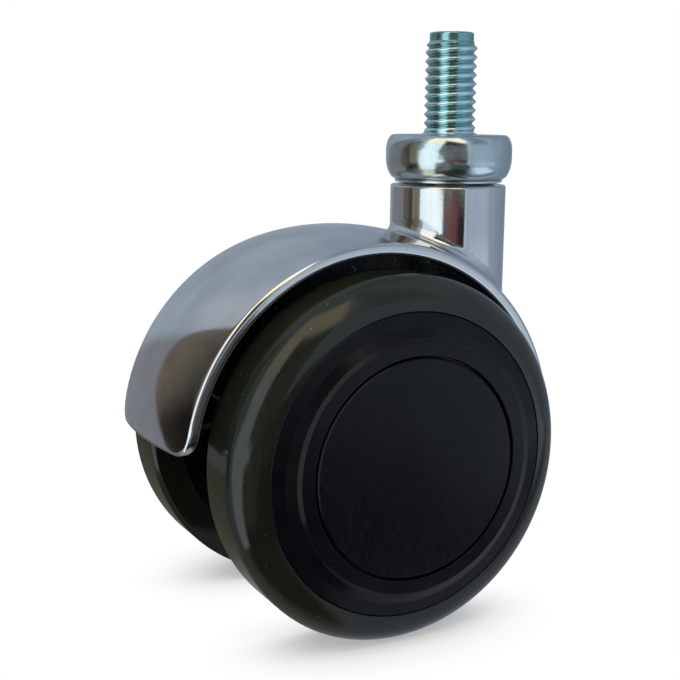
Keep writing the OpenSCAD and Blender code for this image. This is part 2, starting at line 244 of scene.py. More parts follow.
def mix_round(a, b, r, sign):
    """Union (sign -1) or overlap (sign 1) of two distance fields, with an edge of radius r."""
    a, b = sign * a, sign * b
    field = np.minimum(-r, np.maximum(a, b)) + np.hypot(np.maximum(a + r, 0), np.maximum(b + r, 0))
    return sign * field


def overlap(a, b, r):
    return mix_round(a, b, r, 1)


def union(a, b, r):
    return mix_round(a, b, r, -1)


# The hood casting, as one field of distances

HOOD_HALF, HOOD_GAP, HOOD_WALL, CROWN_RISE = hood_high[1], 2.1, 2.2, 2.0
CROWN_IN = (HOOD_HALF ** 2 + CROWN_RISE ** 2) / (2 * CROWN_RISE)
CROWN_OUT = CROWN_IN + HOOD_WALL
CROWN_TOP_R = WHEEL_R + HOOD_GAP + CROWN_RISE + HOOD_WALL
CROWN_MIDDLE = CROWN_TOP_R - CROWN_OUT
FRONT, REAR, CORNER = math.radians(175.5), math.radians(10), 4.2
RIM_EDGE, INNER_EDGE, NECK_EDGE, NECK_FILLET, TUBE_EDGE = 0.65, 0.95, 0.45, 2.0, 0.4
# The web: half its thickness, its foot beside and below the axle, its front run and its tie to the hood
WEB_HALF, WEB_FOOT, WEB_LOW, WEB_REACH, WEB_SINK = 2.5, 6.5, -4.0, 65.9, 1.1
WEB_TIE_R = CROWN_TOP_R - WEB_SINK
TUBE_LAP = 1.0
TUBE_NEAR, TUBE_HIGH = -AXLE_X - NECK_R + TUBE_LAP, TUBE_Z - AXLE_Z
BOSS_R, BOSS_HALF = 9.0, 9.0
WEB_EDGE, WEB_FILLET, BOSS_EDGE, BOSS_FILLET = 0.5, 1.2, 0.6, 1.5
BORE_MIDDLE, BORE_HALF, BORE_EDGE, AXLE_EDGE = -25.0, 40.0, 0.12, 0.2


def half_plane(x, z, p, q):
    """Distance to the left of the line from p to q, negative on its right."""
    dx, dz = q[0] - p[0], q[1] - p[1]
    return (dx * (z - p[1]) - dz * (x - p[0])) / math.hypot(dx, dz)


def hood_field(x, y, z):
    """About the distance to the hood casting's surface, negative inside."""
    across, high, u = x - AXLE_X, z - AXLE_Z, np.abs(y)
    r = np.hypot(across, high)
    crown = np.hypot(r - CROWN_MIDDLE, u)
    end = np.maximum(-across * math.sin(FRONT) + high * math.cos(FRONT),
                     across * math.sin(REAR) - high * math.cos(REAR))
    ex, ey = end + CORNER, u - HOOD_HALF + CORNER
    edge = np.minimum(np.maximum(ex, ey), 0) + np.hypot(np.maximum(ex, 0), np.maximum(ey, 0)) - CORNER
    shell = overlap(overlap(crown - CROWN_OUT, edge, RIM_EDGE), CROWN_IN - crown, INNER_EDGE)
    rho = np.hypot(x, y)
    neck = overlap(overlap(rho - NECK_R, z - NECK_TOP, NECK_EDGE), TUBE_Z - z, TUBE_EDGE)
    body = union(shell, neck, NECK_FILLET)
    front = half_plane(across, high, (-WEB_FOOT, WEB_LOW), (-WEB_REACH, CROWN_TOP_R))
    rear = np.minimum(-half_plane(across, high, (WEB_FOOT, WEB_LOW), (TUBE_NEAR, TUBE_HIGH)),
                      np.maximum(TUBE_HIGH - high, across + AXLE_X))
    outline = np.maximum(np.maximum(front, rear), np.maximum(WEB_LOW - high, r - WEB_TIE_R))
    web = overlap(outline, u - WEB_HALF, WEB_EDGE)
    boss = overlap(r - BOSS_R, u - BOSS_HALF, BOSS_EDGE)
    body = union(body, union(web, boss, BOSS_FILLET), WEB_FILLET)
    recess = np.maximum(rho - FLANGE_R, np.minimum(NECK_TOP - FLANGE_T - z, z - TUBE_Z - FLANGE_T))
    hole = np.minimum(np.maximum(rho - BUSH_HOLE_R, np.abs(z - BORE_MIDDLE) - BORE_HALF), recess)
    body = overlap(body, -hole, BORE_EDGE)
    return overlap(body, AXLE_R - r, AXLE_EDGE)


def gradient(field, p, step=0.01):
    """A field's slope along X, Y and Z."""
    cols = []
    for axis in range(3):
        shift = np.zeros(3)
        shift[axis] = step
        cols.append((field(*(p + shift).T) - field(*(p - shift).T)) / (2 * step))
    return np.stack(cols, 1)


def surface_net(field, low, high, cell):
    """Points and quads of a field's zero surface."""
    axes = [np.arange(low[i], high[i] + cell, cell) for i in range(3)]
    value = np.stack([field(x, axes[1][:, None], axes[2][None, :]) for x in axes[0]])
    inside = value < 0
    corner = [inside[i:inside.shape[0] - 1 + i, j:inside.shape[1] - 1 + j, k:inside.shape[2] - 1 + k]
              for i in (0, 1) for j in (0, 1) for k in (0, 1)]
    count = np.sum(corner, 0)
    active = (count > 0) & (count < 8)
    index = np.full(active.shape, -1)
    index[active] = np.arange(active.sum())
    where = np.argwhere(active)
    total, hits = np.zeros((len(where), 3)), np.zeros(len(where))
    offsets = [np.array(o) for o in np.ndindex(2, 2, 2)]
    for a in offsets:
        for axis in range(3):
            if a[axis]:
                continue
            b = a.copy()
            b[axis] = 1
            va, vb = value[tuple((where + a).T)], value[tuple((where + b).T)]
            cross = (va < 0) != (vb < 0)
            t = np.where(cross, va / np.where(cross, va - vb, 1), 0)
            place = a + t[:, None] * (b - a)
            total += np.where(cross[:, None], place, 0)
            hits += cross
    points = np.array(low) + (where + total / hits[:, None]) * cell
    quads = []
    for axis in range(3):
        one, two = (axis + 1) % 3, (axis + 2) % 3
        cut = [slice(1, -1)] * 3
        cut[axis] = slice(0, -1)
        nxt = list(cut)
        nxt[axis] = slice(1, None)
        here, there = inside[tuple(cut)], inside[tuple(nxt)]
        for sign in (1, -1):
            edge = np.argwhere(here & ~there if sign > 0 else there & ~here)
            base = edge + 1
            base[:, axis] -= 1
            ring = []
            for da, db in ((1, 1), (0, 1), (0, 0), (1, 0)):
                cellpos = base.copy()
                cellpos[:, one] -= da
                cellpos[:, two] -= db
                ring.append(index[tuple(cellpos.T)])
            ring = np.stack(ring, 1)
            quads.append(ring if sign > 0 else ring[:, ::-1])
    return settle(field, points, 0.4 * cell), np.concatenate(quads)


def settle(field, points, reach):
    """Moves points onto a field's zero surface."""
    for _ in range(4):
        g = gradient(field, points)
        push = (field(*points.T) / np.maximum((g * g).sum(1), 0.2))[:, None] * g
        points = points - np.clip(push, -reach, reach)
    return points


def relax(field, points, quads, rounds, reach):
    """Evens out a net by moving each point towards the middle of its neighbours, along the surface."""
    a = quads.ravel()
    b = np.roll(quads, -1, 1).ravel()
    count = np.bincount(a, minlength=len(points)) + np.bincount(b, minlength=len(points))
    for _ in range(rounds):
        middle = np.zeros_like(points)
        np.add.at(middle, a, points[b])
        np.add.at(middle, b, points[a])
        points = settle(field, 0.5 * points + 0.5 * middle / count[:, None], reach)
    return points


def unit_normals(field, points):
    g = gradient(field, points)
    return g / np.linalg.norm(g, axis=1)[:, None]


SHOWN_DEPTH, NECK_DEPTH = 1.4, 0.8


def hood_shows(p):
    """True for points on the outside or the rim of the hood, and on the neck."""
    crown = np.hypot(np.hypot(p[:, 0] - AXLE_X, p[:, 2] - AXLE_Z) - CROWN_MIDDLE, p[:, 1])
    return (crown > CROWN_IN - SHOWN_DEPTH) & (np.hypot(p[:, 0], p[:, 1]) > NECK_R - NECK_DEPTH)


def split_bends(field, points, faces, shows, limits, reach):
    """Splits each face that shows and turns by more than a limit in degrees."""
    shape = bmesh.new()
    verts = [shape.verts.new(p) for p in points]
    for face in faces:
        shape.faces.new([verts[i] for i in face])
    for limit in limits:
        shape.verts.index_update()
        place = np.array([v.co for v in shape.verts])
        normals = unit_normals(field, place)
        edges = list(shape.edges)
        ends = np.array([[v.index for v in e.verts] for e in edges])
        turn = (normals[ends[:, 0]] * normals[ends[:, 1]]).sum(1)
        seen = shows(place)[ends].all(1)
        bent = {e for e, t in zip(edges, seen & (turn < math.cos(math.radians(limit)))) if t}
        whole = {e for f in shape.faces if not bent.isdisjoint(f.edges) for e in f.edges}
        bmesh.ops.subdivide_edges(shape, edges=list(whole), cuts=1, use_grid_fill=True)
        place = settle(field, np.array([v.co for v in shape.verts]), reach)
        for v, p in zip(shape.verts, place):
            v.co = p
    shape.verts.index_update()
    place = np.array([v.co for v in shape.verts])
    faces = [[v.index for v in f.verts] for f in shape.faces]
    shape.free()
    return place, faces, unit_normals(field, place)


NET_LOW, NET_HIGH, NET_CELL = (-61.8, -16.8, -63.7), (15.9, 16.8, -8.4), 0.72
RELAX_ROUNDS, RELAX_REACH, BEND_LIMITS, BEND_REACH = 3, 0.2, (6, 8), 0.1
net_points, net_quads = surface_net(hood_field, NET_LOW, NET_HIGH, NET_CELL)
net_points = relax(hood_field, net_points, net_quads, RELAX_ROUNDS, RELAX_REACH)
hood_shape = split_bends(hood_field, net_points, net_quads, hood_shows, BEND_LIMITS, BEND_REACH)
hood = add_mesh("hood_casting", *hood_shape)


# Wheels


def tread_profile():
    """The tread, with a fine groove beside the crease where its bulging shoulder starts."""
    chord = np.array([CORE_R - WHEEL_R, FACE - CREASE])
    span = np.linalg.norm(chord)
    radius = (span * span / 4 + BULGE * BULGE) / (2 * BULGE)
    middle = np.array([(CORE_R + WHEEL_R) / 2, (FACE + CREASE) / 2])
    middle = middle + np.array([-chord[1], chord[0]]) / span * (radius - BULGE)
    start = math.degrees(math.atan2(CREASE - middle[1], WHEEL_R - middle[0]))
    end = math.degrees(math.atan2(FACE - middle[1], CORE_R - middle[0]))
    shoulder = arc(middle, radius, start, end, 24)
    band = [(CORE_R, TREAD_IN + 0.1, 0.1), (WHEEL_R - TREAD_EDGE, TREAD_IN, 0.35), (WHEEL_R, RIM_IN, 0.4)]
    groove = [(WHEEL_R, CREASE - GROOVE_FAR), (WHEEL_R - GROOVE_DEPTH, CREASE - GROOVE_DEEPEST),
              (WHEEL_R, CREASE - GROOVE_NEAR)]
    key = [(CORE_R, KEY_OUT), (KEY_R, KEY_OUT), (KEY_R, KEY_IN), (CORE_R, KEY_IN)]
    return rounded(band + groove + shoulder[:-1] + [shoulder[-1] + (0.08,)] + key)


CORE_PROFILE = rounded([
    (HUB_BORE_R, HUB_IN, 0.2), (HUB_R, HUB_IN, 0.4), (HUB_R, POCKET_IN, 0.6), (RIM_INNER_R, POCKET_IN, 0.6),
    (RIM_INNER_R, RIM_IN, 0.25), (CORE_R, RIM_IN, 0.1), (CORE_R, KEY_IN), (KEY_R, KEY_IN), (KEY_R, KEY_OUT),
    (CORE_R, KEY_OUT), (CORE_R, FACE - LINE_EDGE, 0.05), (CORE_R - LINE_EDGE, FACE, 0.1),
    (RISE_FOOT_R, FACE + RING_RISE, 0.3), (RISE_TOP_R + STEP_W, LIP - STEP_H, 0.15), (RISE_TOP_R, LIP, 0.2),
    (POCKET_R, LIP, 0.14), (POCKET_R, CAP_IN, 0.1), (SEAT_R, CAP_IN, 0.1), (SEAT_R, HUB_OUT, 0.5),
    (HUB_BORE_R, HUB_OUT, 0.3)])

CAP_PROFILE = rounded([
    (0, CAP_IN), (SKIRT_R - SKIRT_T, CAP_IN, 0.3), (SKIRT_R - SKIRT_T, SKIRT_IN, 0.15),
    (SKIRT_R, SKIRT_IN, 0.2), (SKIRT_R, CAP_IN, 0.1), (CAP_R, CAP_IN, 0.1), (CAP_R, CAP_OUT - CAP_EDGE, 0.12),
    (CAP_R - CAP_EDGE, CAP_OUT, 0.15), (0, CAP_OUT)])

RIB_COUNT, RIB_START_R, RIB_END_R, RIB_HALF, RIB_ROOT = 8, 6.5, 24.6, 0.9, 1.0


def ribbed_core(name, side):
    """A wheel core with the ribs on its inner side joined on."""
    core = turned_on_axle(name, CORE_PROFILE, side, 160)
    corners = ((RIB_START_R, -RIB_HALF), (RIB_END_R, -RIB_HALF),
               (RIB_END_R, RIB_HALF), (RIB_START_R, RIB_HALF))
    verts, faces = [], []
    for i in range(RIB_COUNT):
        a = 2 * math.pi / RIB_COUNT * i
        along, aside = np.array([math.cos(a), math.sin(a)]), np.array([-math.sin(a), math.cos(a)])
        base = len(verts)
        for u in (RIB_IN, POCKET_IN + RIB_ROOT):
            for r, t in corners:
                p = along * r + aside * t
                verts.append((AXLE_X + p[0], side * u, AXLE_Z + p[1]))
        box = [(0, 1, 2, 3), (7, 6, 5, 4), (0, 4, 5, 1), (1, 5, 6, 2), (2, 6, 7, 3), (3, 7, 4, 0)]
        faces += [[base + k for k in (f if side < 0 else f[::-1])] for f in box]
    ribs = add_mesh(name + "_ribs", verts, faces)
    join = core.modifiers.new("ribs", "BOOLEAN")
    join.operation, join.solver, join.object = "UNION", "EXACT", ribs
    shape = bpy.data.meshes.new_from_object(core.evaluated_get(bpy.context.evaluated_depsgraph_get()))
    core.modifiers.clear()
    core.data = shape
    shape.polygons.foreach_set("use_smooth", np.ones(len(shape.polygons), bool))
    bpy.data.objects.remove(ribs)
    return core


# The stem: shank, barrel collar and a real helical thread


# The thread: its depth, the start of its helix, the height of its first ring and the rings in a pitch;
# half its crest and its flank are shares of a pitch
THREAD_DEPTH, THREAD_START, THREAD_FOOT, RINGS, CREST_HALF, FLANK = 0.6, 0.41, 0.3, 26, 0.05, 0.42
RUN_OUT, LEAD_IN, LEAD_RISE, THREAD_CLEAR = 1.3, 0.9, 0.8, 0.02
ROOT_R, ROOT_H = 5.0, 0.25


def arc_ellipse(x, y, rx, ry, start, end, steps):
    """Corners along an elliptic arc, in degrees."""
    angles = np.radians(np.linspace(start, end, steps + 1))
    return [(x + rx * math.cos(a), y + ry * math.sin(a)) for a in angles]


def thread_radius(z, angle):
    """The thread's radius at a height, for each angle; it runs out at the collar and at the tip."""
    phase = np.mod(z / PITCH - THREAD_START - angle / (2 * math.pi), 1.0)
    fall = np.clip((np.abs(phase - 0.5) - CREST_HALF) / FLANK, 0, 1)
    fall = fall * fall * (3 - 2 * fall) * 0.3 + fall * 0.7
    run_out = np.clip((z - THREAD_FOOT) / RUN_OUT, 0, 1) ** 0.6
    lead = TIP_R + np.clip((THREAD_TOP - TIP_LEN - z) / LEAD_IN, 0, 1) * LEAD_RISE
    return np.minimum(THREAD_R - THREAD_DEPTH * fall * run_out - THREAD_CLEAR, lead)


def stem_mesh():
    turns = 128
    groove_r = SHANK_R - CLIP_DEPTH
    low_r, top_r = COLLAR_R - COLLAR_LOW_W, COLLAR_R - COLLAR_TOP_W
    lower = rounded([
        (0, STEM_FOOT), (groove_r, STEM_FOOT, 0.1), (SHANK_R, STEM_FOOT + 0.35, 0.1),
        (SHANK_R, CLIP_LOW, 0.05), (groove_r, CLIP_LOW), (groove_r, CLIP_TOP), (SHANK_R, CLIP_TOP, 0.05),
        (SHANK_R, -COLLAR_H, 0.2), (low_r, -COLLAR_H)]
        + arc_ellipse(low_r, COLLAR_LOW_H - COLLAR_H, COLLAR_LOW_W, COLLAR_LOW_H, -86, 0, 20)
        + arc_ellipse(top_r, -COLLAR_TOP_H, COLLAR_TOP_W, COLLAR_TOP_H, 0, 86, 20)
        + [(top_r, 0), (ROOT_R + 0.2, 0, 0.15), (ROOT_R, ROOT_H), (0, ROOT_H)])
    lower = lower[:-1]
    rows_r = [np.full(turns, p[0]) for p in lower]
    rows_z = [np.full(turns, p[1]) for p in lower]
    angle = np.linspace(0, 2 * math.pi, turns, endpoint=False)
    for z in np.arange(THREAD_FOOT, THREAD_TOP - TIP_LEN + 0.5, PITCH / RINGS):
        rows_r.append(thread_radius(z, angle))
        rows_z.append(np.full(turns, z))
    for inset, drop in ((0, 0.6), (0, 0.35), (0.04, 0.18), (0.14, 0.06), (0.3, 0), (TIP_R, 0)):
        rows_r.append(np.full(turns, TIP_R - inset))
        rows_z.append(np.full(turns, THREAD_TOP - drop))
    r, z = np.array(rows_r), np.array(rows_z)
    points = np.stack([r * np.cos(angle), r * np.sin(angle), z], 2).reshape(-1, 3)
    faces = []
    for i in range(len(r) - 1):
        for j in range(turns):
            k = (j + 1) % turns
            faces.append([i * turns + j, i * turns + k, (i + 1) * turns + k, (i + 1) * turns + j])
    points, faces, _ = merge_points(points, faces, points)
    piece = add_mesh("stem_with_thread", points, faces)
    piece.data.set_sharp_from_angle(angle=math.radians(50))
    return piece


def washer_mesh():
    """The thrust washer, with its edges broken."""
    low, high = washer_low[2], washer_high[2]
    bore_r = SHANK_R + RUN_CLEAR
    profile = rounded([(bore_r, low, 0.08), (THRUST_R, low, 0.2), (THRUST_R, high, 0.2),
                       (bore_r, high, 0.08)])
    r, z, a, nr, nz, faces = lathe(profile, 128)
    points = np.stack([r * np.cos(a), r * np.sin(a), z], 1)
    normals = np.stack([nr * np.cos(a), nr * np.sin(a), nz], 1)
    return add_mesh("thrust_ring", points, faces, normals)


# Materials


class Shader:
    """A material's node tree with short ways to add to it."""

    def __init__(self, name):
        self.material = bpy.data.materials.new(name)
        self.material.use_nodes = True
        self.tree = self.material.node_tree
        self.tree.nodes.clear()
        self.out = self.add("ShaderNodeOutputMaterial")

    def add(self, kind, inputs=(), **settings):
        node = self.tree.nodes.new(kind)
        for key, value in settings.items():
            setattr(node, key, value)
        for key, value in dict(inputs).items():
            if isinstance(value, bpy.types.NodeSocket):
                self.tree.links.new(value, node.inputs[key])
            else:
                node.inputs[key].default_value = value
        return node

    def math(self, operation, a, b=0.0):
        return self.add("ShaderNodeMath", {0: a, 1: b}, operation=operation).outputs[0]

    def ramp(self, value, low, high, to_low=0.0, to_high=1.0):
        """Goes smoothly from to_low to to_high as the value goes from low to high."""
        limits = {"Value": value, "From Min": low, "From Max": high, "To Min": to_low, "To Max": to_high}
        return self.add("ShaderNodeMapRange", limits, interpolation_type="SMOOTHSTEP").outputs[0]

    def coords(self, scale=(1, 1, 1)):
        place = self.add("ShaderNodeTexCoord").outputs["Object"]
        return self.add("ShaderNodeMapping", {"Vector": place, "Scale": scale}).outputs[0]

    def axes(self):
        """The piece's own X, Y and Z, in millimetres."""
        parts = self.add("ShaderNodeSeparateXYZ", {0: self.coords((1 / MM, 1 / MM, 1 / MM))}).outputs
        return parts["X"], parts["Y"], parts["Z"]

    def length(self, a, b):
        return self.math("SQRT", self.math("ADD", self.math("MULTIPLY", a, a), self.math("MULTIPLY", b, b)))

    def noise(self, scale, stretch=(1, 1, 1), detail=3.0, roughness=0.5):
        inputs = {"Vector": self.coords(stretch), "Scale": scale, "Detail": detail, "Roughness": roughness}
        return self.add("ShaderNodeTexNoise", inputs).outputs["Fac"]

    def blend(self, factor, a, b):
        mix = self.add("ShaderNodeMix", data_type="RGBA")
        for socket, value in ((mix.inputs[0], factor), (mix.inputs[6], a), (mix.inputs[7], b)):
            if isinstance(value, bpy.types.NodeSocket):
                self.tree.links.new(value, socket)
            else:
                socket.default_value = value if not isinstance(value, tuple) else (*value, 1)
        return mix.outputs[2]

    def bump(self, height, strength, distance_mm, normal=None):
        inputs = {"Height": height, "Strength": strength, "Distance": distance_mm * MM}
        if normal is not None:
            inputs["Normal"] = normal
        return self.add("ShaderNodeBump", inputs).outputs[0]

    def surface(self, **inputs):
        """A principled surface; an input's name is its socket's, with _ for a space."""
        shader = self.add("ShaderNodeBsdfPrincipled", {key.replace("_", " "): inputs[key] for key in inputs})
        self.tree.links.new(shader.outputs[0], self.out.inputs[0])
        return self.material


def chrome_material():
    """Polished plate outside; inside the hood the casting is only dipped and dull, and darkened further by painted
    shade.
    """
    s = Shader("chrome_plate")
    x, y, z = s.axes()
    from_axle = s.length(s.math("SUBTRACT", x, AXLE_X), s.math("SUBTRACT", z, AXLE_Z))
    crown = s.length(s.math("SUBTRACT", from_axle, CROWN_MIDDLE), y)
    inside = s.ramp(crown, CROWN_IN + 0.03, CROWN_IN + 0.2, 1.0, 0.0)
    haze = s.noise(140, detail=4)
    fine = s.noise(2600, detail=2)
    colour = s.blend(s.ramp(haze, 0.3, 0.7), (0.605, 0.62, 0.635), (0.645, 0.655, 0.665))
    # Inside the hood: dull dipped plate with pale specks, made near black as painted shade for the hood's hollow.
    dull_and_shaded = s.blend(s.ramp(fine, 0.4, 0.75), (0.05, 0.05, 0.051), (0.11, 0.111, 0.113))
    dull_and_shaded = s.blend(s.ramp(s.noise(520, detail=2), 0.66, 0.72), dull_and_shaded, (0.3, 0.285, 0.27))
    colour = s.blend(inside, colour, dull_and_shaded)
    rough = s.math("ADD", s.ramp(haze, 0.25, 0.8, 0.06, 0.10), s.ramp(fine, 0.3, 0.8, 0.0, 0.03))
    rough = s.math("ADD", rough, s.math("MULTIPLY", inside, 0.42))
    peel = s.bump(s.noise(2000, detail=3), 0.4, 0.012)
    return s.surface(Base_Color=colour, Metallic=1.0, Roughness=rough, Normal=peel)


def zinc_material():
    """Zinc plate, bluer on the rolled thread than on the turned collar; the thread is darker in its valleys as
    painted shade and lighter on its crests as painted light.
    """
    s = Shader("zinc_plate")
    x, y, z = s.axes()
    thread = s.ramp(z, 0.1, 0.5)
    # Painted shade and light on the thread, by radius: darker colour in the valleys, lighter colour on the crests.
    crest = s.ramp(s.length(x, y), THREAD_R - 0.55, THREAD_R - 0.05)
    cloud = s.noise(260, detail=4)
    pits = s.noise(1500, detail=3)
    worn = s.ramp(cloud, 0.3, 0.72)
    collar = s.blend(worn, (0.485, 0.565, 0.59), (0.585, 0.655, 0.675))
    shaded_valley = s.blend(worn, (0.24, 0.43, 0.45), (0.31, 0.52, 0.54))
    lit_crest = s.blend(worn, (0.58, 0.83, 0.86), (0.74, 0.95, 0.97))
    colour = s.blend(thread, collar, s.blend(crest, shaded_valley, lit_crest))
    rough = s.math("ADD", s.ramp(cloud, 0.3, 0.75, 0.12, 0.19), s.math("MULTIPLY", thread, 0.02))
    bump = s.bump(pits, 0.35, 0.02, s.bump(s.noise(500, detail=2), 0.3, 0.04))
    return s.surface(Base_Color=colour, Metallic=1.0, Roughness=rough, Normal=bump)


def steel_material(name, dark, light, roughness):
    """Turned steel, with fine lines."""
    s = Shader(name)
    lines = s.noise(1400, (0.3, 4.0, 4.0), detail=3)
    colour = s.blend(s.ramp(s.noise(300), 0.3, 0.7), dark, light)
    rough = s.ramp(lines, 0.3, 0.75, roughness, roughness + 0.12)
    return s.surface(Base_Color=colour, Metallic=1.0, Roughness=rough, Normal=s.bump(lines, 0.2, 0.01))


def plastic_material(name, dark, light, roughness, grain_mm, specular):
    """Moulded plastic, with a fine grain."""
    s = Shader(name)
    grain = s.noise(1 / (grain_mm * MM), detail=3)
    colour = s.blend(s.ramp(s.noise(180, detail=4), 0.3, 0.7), dark, light)
    rough = s.ramp(grain, 0.3, 0.7, roughness, roughness + 0.08)
    moulded = s.bump(grain, 0.12, 0.01)
    return s.surface(Base_Color=colour, Roughness=rough, Specular_IOR_Level=specular, Normal=moulded)


def cap_material():
    """Black plastic with a fine straight grain up and down."""
    s = Shader("cap_straight_grain")
    grain = s.noise(3600, (1.0, 1.0, 0.16), detail=3, roughness=0.7)
    broad = s.noise(240, (1.0, 1.0, 0.2), detail=3)
    colour = s.blend(s.ramp(grain, 0.4, 0.7), (0.0008, 0.0011, 0.0025), (0.0048, 0.006, 0.0118))
    rough = s.math("ADD", s.ramp(grain, 0.3, 0.7, 0.26, 0.36), s.ramp(broad, 0.3, 0.7, 0.0, 0.05))
    lines = s.bump(grain, 0.3, 0.03)
    return s.surface(Base_Color=colour, Roughness=rough, Specular_IOR_Level=0.22, Normal=lines)


def tread_material():
    """Glossy dark olive polyurethane, with a few specks of dust."""
    s = Shader("olive_polyurethane")
    cloud = s.noise(90, detail=4)
    fine = s.noise(700, detail=3)
    colour = s.blend(s.ramp(cloud, 0.3, 0.7), (0.0092, 0.0107, 0.0065), (0.0135, 0.0152, 0.0092))
    dust = s.ramp(s.noise(1300, detail=2), 0.72, 0.76)
    colour = s.blend(dust, colour, (0.09, 0.085, 0.07))
    rough = s.math("ADD", s.ramp(cloud, 0.3, 0.75, 0.10, 0.15), s.ramp(fine, 0.3, 0.75, 0.0, 0.03))
    skin = s.bump(fine, 0.06, 0.01)
    return s.surface(Base_Color=colour, Roughness=rough, Specular_IOR_Level=0.5, Normal=skin)


chrome = chrome_material()
zinc = zinc_material()
bright_steel = steel_material("bright_steel", (0.60, 0.61, 0.63), (0.76, 0.77, 0.78), 0.18)
spring_steel = steel_material("spring_steel", (0.14, 0.14, 0.15), (0.24, 0.24, 0.26), 0.30)
nylon = plastic_material("natural_nylon", (0.74, 0.72, 0.64), (0.84, 0.83, 0.77),
                         roughness=0.38, grain_mm=0.3, specular=0.5)
core_plastic = plastic_material("core_black", (0.002, 0.0023, 0.0032), (0.004, 0.0045, 0.006),
                                roughness=0.22, grain_mm=0.25, specular=0.2)
cap_plastic = cap_material()
olive = tread_material()

dress(hood, "swivel_body", "hood", chrome)
dress(stem_mesh(), "stem", "threaded_stem", zinc)
dress(washer_mesh(), "stem", "thrust_washer", bright_steel)
for side, word in ((1, "left"), (-1, "right")):
    body = word + "_wheel"
    tread = turned_on_axle("tread_ring_" + word, tread_profile(), side)
    dress(tread, body, "tread_" + word, olive)
    core = ribbed_core("core_" + word, side)
    dress(core, body, "wheel_core_" + word, core_plastic)
    cap = turned_on_axle("cap_disc_" + word, CAP_PROFILE, side, 160)
    dress(cap, body, "hub_cap_" + word, cap_plastic)

FINISHES = {"bright_steel": bright_steel, "spring_steel": spring_steel, "bearing_plastic": nylon}
for row in frame["record"]["subparts"]:
    if row["material_slot"] in FINISHES:
        mesh = nodes[row["node"]].data
        mesh.materials.clear()
        mesh.materials.append(FINISHES[row["material_slot"]])


# Studio


def hide(obj, diffuse):
    """Hides an object from the camera and stops its shadow; diffuse hides it from diffuse light too."""
    obj.visible_camera = False
    obj.visible_diffuse = not diffuse
    obj.visible_shadow = False


def seen_rays(s):
    """1 for camera, glossy and transmission rays."""
    path = s.add("ShaderNodeLightPath").outputs
    return s.math("MAXIMUM", s.math("MAXIMUM", path["Is Camera Ray"], path["Is Glossy Ray"]),
                  path["Is Transmission Ray"])


# The floor's shadow lies where the wheels hide much of the space over it, within SHADOW_REACH
FLOOR_R, FLOOR_STEPS, FLOOR_COLOUR = 74, 96, (0.92, 0.92, 0.92, 1)
SHADOW_REACH, SHADOW_SAMPLES, SHADOW_SHARE, HIDDEN, OPEN = 16, 8, 0.62, 0.25, 0.92


def floor_material():
    """White in the open, for the camera and reflections; under the wheels it shows their shadow."""
    s = Shader("studio_floor")
    reach = {"Distance": SHADOW_REACH * MM}
    free = s.add("ShaderNodeAmbientOcclusion", reach, samples=SHADOW_SAMPLES).outputs["AO"]
    near = s.ramp(free, HIDDEN, OPEN, SHADOW_SHARE, 0.0)
    diffuse = s.add("ShaderNodeBsdfDiffuse", {"Color": FLOOR_COLOUR}).outputs[0]
    white = s.add("ShaderNodeEmission", {"Color": (1, 1, 1, 1), "Strength": 1.0}).outputs[0]
    shown = s.add("ShaderNodeMixShader", {0: near, 1: white, 2: diffuse}).outputs[0]
    final = s.add("ShaderNodeMixShader", {0: seen_rays(s), 1: diffuse, 2: shown})
    s.tree.links.new(final.outputs[0], s.out.inputs[0])
    return s.material


floor_edge = arc((0, 0), FLOOR_R, 0, 360, FLOOR_STEPS)[:-1]
floor = add_mesh("floor", [(x, y, FLOOR_Z) for x, y in floor_edge], [list(range(FLOOR_STEPS))])
floor.data.materials.append(floor_material())


def glow(s, colour, strength=1.0):
    """Ends a material that glows in reflections and isn't sampled as a lamp."""
    light = s.add("ShaderNodeEmission", {"Color": colour, "Strength": strength})
    s.tree.links.new(light.outputs[0], s.out.inputs[0])
    s.material.cycles.emission_sampling = "NONE"
    return s.material


# Things that only reflections show: a floor mat, dark on the left, and a low dark board in front
MAT_LIFT = 0.2
MAT_OUTLINE = [(-72, -200), (-72, -8), (-110, 20), (-110, 150), (160, 150), (160, -200)]
BOARD_Y, BOARD_LEFT, BOARD_RIGHT, BOARD_TOP = -150, -75, 14, -45
BOARD_CORNERS = [(BOARD_LEFT, FLOOR_Z), (BOARD_RIGHT, FLOOR_Z),
                 (BOARD_RIGHT, BOARD_TOP), (BOARD_LEFT, BOARD_TOP)]


def mat_material():
    """A grey mat with strips across it, dark on its left; its places are in millimetres."""
    s = Shader("floor_mat")
    place = s.add("ShaderNodeNewGeometry").outputs["Position"]
    axes = s.add("ShaderNodeSeparateXYZ", {0: place}).outputs
    x, y = s.math("DIVIDE", axes["X"], MM), s.math("DIVIDE", axes["Y"], MM)
    # The edge of the dark part is sharp near the wheels, and soft and further right in front
    front = s.ramp(y, -80, -50, 1.0, 0.0)
    sharp, soft = s.ramp(x, -37, -31, 1.0, 0.0), s.ramp(x, -5, 65, 1.0, 0.0)
    left = s.add("ShaderNodeMix", {0: front, 2: sharp, 3: soft}).outputs[0]
    dark = s.blend(s.ramp(y, -31, -23), (0.03, 0.032, 0.03), (0.33, 0.34, 0.31))
    dark = s.blend(s.ramp(y, -4, 16), dark, (0.15, 0.145, 0.11))
    # The grey part, from behind to the front: grey, paler, darker, and last a bright strip
    grey = s.blend(s.ramp(y, -36, -6), (0.42, 0.47, 0.54), (0.27, 0.3, 0.33))
    grey = s.blend(s.ramp(y, -50, -40, 1.0, 0.0), grey, (0.2, 0.235, 0.29))
    grey = s.blend(s.ramp(y, -95, -66, 1.0, 0.0), grey, (0.88, 1.02, 1.24))
    return glow(s, s.blend(left, grey, dark))


